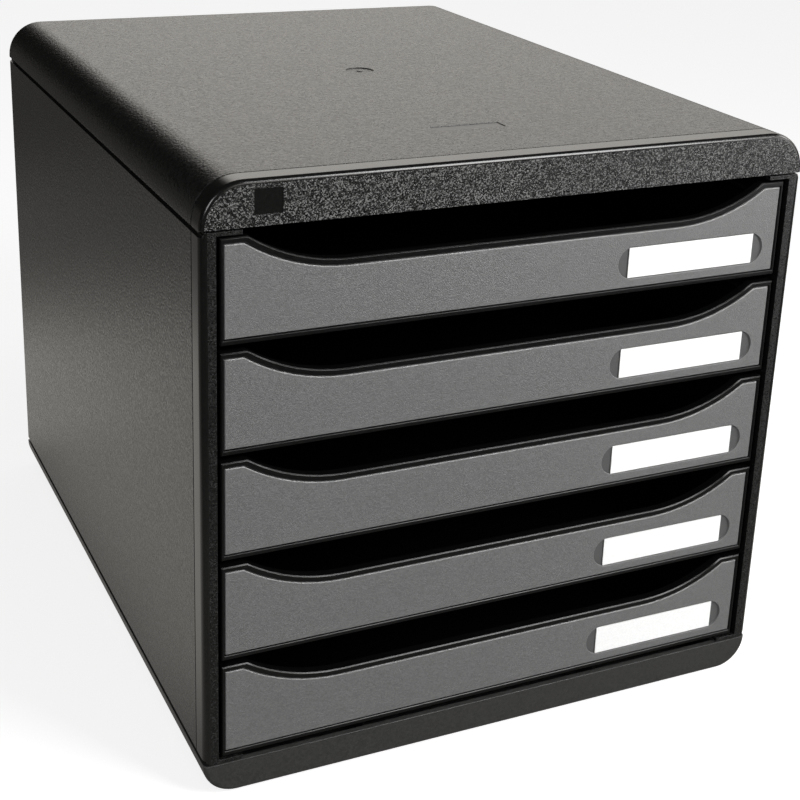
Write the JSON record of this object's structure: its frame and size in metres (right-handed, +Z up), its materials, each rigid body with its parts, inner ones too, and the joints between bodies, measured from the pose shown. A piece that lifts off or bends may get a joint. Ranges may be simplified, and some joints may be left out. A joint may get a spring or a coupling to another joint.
{
  "type": "desktop file drawer",
  "caption": "Desktop drawer unit with a charcoal moulded casing, rolled top and base, and pull-out paper trays with grey scooped fronts and white label cards.",
  "frame": {"origin": "middle of the footprint, on the surface that the feet stand on", "axes": "+Z up, +X to the right of someone facing the drawers, +Y from the drawer fronts to the back"},
  "size_m": [0.278, 0.347, 0.271],
  "materials": {
    "casing_plastic": "charcoal polystyrene with a fine moulded grain",
    "base_plastic": "charcoal polystyrene, satin smooth",
    "tray_plastic": "black polystyrene, satin smooth",
    "front_plastic": "mid grey polystyrene with a fine sparkling grain",
    "label_card": "plain white card",
    "foot_rubber": "black rubber"
  },
  "bodies": {
    "casing": {"top_cover": "casing_plastic", "base_shell": "base_plastic", "left_side_panel": "casing_plastic", "right_side_panel": "casing_plastic", "back_panel": "casing_plastic", "front_left_foot": "foot_rubber", "front_right_foot": "foot_rubber", "back_left_foot": "foot_rubber", "back_right_foot": "foot_rubber"},
    "drawer_1": {"drawer_tray_1": "tray_plastic", "drawer_front_1": "front_plastic", "label_card_1": "label_card"},
    "drawer_2": {"drawer_tray_2": "tray_plastic", "drawer_front_2": "front_plastic", "label_card_2": "label_card"},
    "drawer_3": {"drawer_tray_3": "tray_plastic", "drawer_front_3": "front_plastic", "label_card_3": "label_card"},
    "drawer_4": {"drawer_tray_4": "tray_plastic", "drawer_front_4": "front_plastic", "label_card_4": "label_card"},
    "drawer_5": {"drawer_tray_5": "tray_plastic", "drawer_front_5": "front_plastic", "label_card_5": "label_card"}
  },
  "joints": [
    {"name": "drawer_1_slide", "type": "slide", "parent": "casing", "child": "drawer_1", "axis": [0, -1, 0], "range_m": [0, 0.26]},
    {"name": "drawer_2_slide", "type": "slide", "parent": "casing", "child": "drawer_2", "axis": [0, -1, 0], "range_m": [0, 0.26]},
    {"name": "drawer_3_slide", "type": "slide", "parent": "casing", "child": "drawer_3", "axis": [0, -1, 0], "range_m": [0, 0.26]},
    {"name": "drawer_4_slide", "type": "slide", "parent": "casing", "child": "drawer_4", "axis": [0, -1, 0], "range_m": [0, 0.26]},
    {"name": "drawer_5_slide", "type": "slide", "parent": "casing", "child": "drawer_5", "axis": [0, -1, 0], "range_m": [0, 0.26]}
  ]
}
